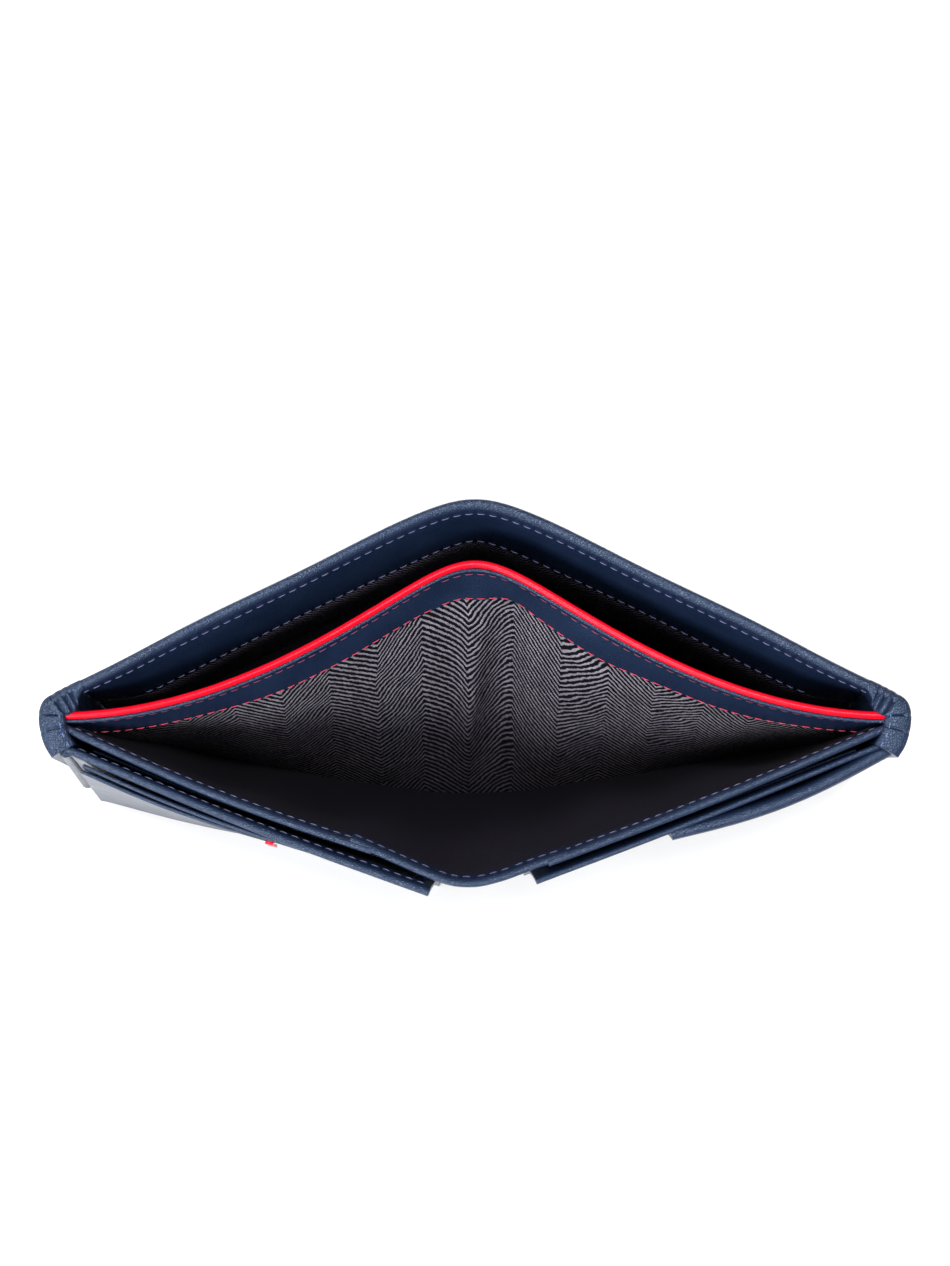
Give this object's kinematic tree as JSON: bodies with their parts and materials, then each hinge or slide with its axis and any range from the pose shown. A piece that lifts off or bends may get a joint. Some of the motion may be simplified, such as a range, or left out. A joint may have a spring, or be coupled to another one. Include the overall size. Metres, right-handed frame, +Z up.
{
  "type": "trifold wallet",
  "caption": "Soft leather wallet standing open on its edge, with a spine cover, two gaping bill compartments, hinged front panels with card slots and a swing-out third panel.",
  "frame": {"origin": "middle of the bottom of the overall box, on the surface that the wallet stands on", "axes": "+Z up along the mouth's opening, +Y towards the spine, +X towards the right leaf seen from the front"},
  "size_m": [0.214, 0.0988, 0.092],
  "materials": {
    "navy_leather": "satin fine grain",
    "red_leather": "glossy piping",
    "black_lining": "ribbed twill",
    "herringbone_cloth": "woollen herringbone",
    "black_mesh": "open net"
  },
  "bodies": {
    "spine": {"divider_band_centre": "navy_leather", "divider_fabric_centre": "herringbone_cloth", "front_bag_lining_centre": "black_lining", "front_centre_strip": "navy_leather", "red_piping_centre": "red_leather", "spine_facing_band": "navy_leather", "spine_leather": "navy_leather", "spine_lining": "black_lining"},
    "left_cover": {"divider_band_left": "navy_leather", "divider_fabric_left": "herringbone_cloth", "left_cover_leather": "navy_leather", "left_cover_lining": "black_lining", "left_facing_band": "navy_leather", "left_side_strip": "navy_leather", "red_piping_left": "red_leather"},
    "right_cover": {"divider_band_right": "navy_leather", "divider_fabric_right": "herringbone_cloth", "red_piping_right": "red_leather", "right_cover_leather": "navy_leather", "right_cover_lining": "black_lining", "right_facing_band": "navy_leather", "right_side_strip": "navy_leather"},
    "front_left": {"front_bag_lining_left": "black_lining", "front_left_lining": "black_lining", "front_left_panel": "navy_leather", "front_left_rolled_edge": "navy_leather", "left_card_slot_1": "navy_leather", "left_card_slot_2": "navy_leather"},
    "front_right": {"front_bag_lining_right": "black_lining", "front_right_lining": "black_lining", "front_right_panel": "navy_leather", "front_right_rolled_edge": "navy_leather", "right_card_slot_1": "navy_leather", "right_card_slot_2": "navy_leather", "right_short_leaf": "navy_leather", "right_slip_pocket": "navy_leather"},
    "flap": {"coin_pocket_trim": "red_leather", "flap_card_pocket": "navy_leather", "flap_coin_pocket": "navy_leather", "flap_panel": "navy_leather", "flap_rolled_edge": "navy_leather", "flap_window_frame": "navy_leather", "flap_window_mesh": "black_mesh"}
  },
  "joints": [
    {"name": "left_fold", "type": "hinge", "parent": "spine", "child": "left_cover", "pos_m": [-0.0155, 0.0467, 0], "axis": [0, 0, 1], "range_deg": [0, 62], "deforming": ["divider_band_left", "divider_fabric_left", "front_bag_lining_left", "red_piping_left", "divider_band_centre", "divider_fabric_centre", "front_bag_lining_centre", "front_centre_strip", "red_piping_centre"]},
    {"name": "right_fold", "type": "hinge", "parent": "spine", "child": "right_cover", "pos_m": [0.0155, 0.0467, 0], "axis": [0, 0, -1], "range_deg": [0, 62], "deforming": ["divider_band_right", "divider_fabric_right", "front_bag_lining_right", "red_piping_right"]},
    {"name": "front_left_fold", "type": "hinge", "parent": "left_cover", "child": "front_left", "pos_m": [-0.09957, -0.00819, 0], "axis": [0, 0, 1], "range_deg": [0, 50.5]},
    {"name": "front_right_fold", "type": "hinge", "parent": "right_cover", "child": "front_right", "pos_m": [0.09957, -0.00819, 0], "axis": [0, 0, -1], "range_deg": [0, 50.5]},
    {"name": "flap_fold", "type": "hinge", "parent": "front_left", "child": "flap", "pos_m": [-0.10096, -0.01162, 0], "axis": [0, 0, 1], "range_deg": [-150, 0]}
  ],
  "couplings": [
    {"joint": "front_left_fold", "follows": "left_fold", "ratio": 0.80645},
    {"joint": "front_right_fold", "follows": "right_fold", "ratio": 0.80645}
  ]
}
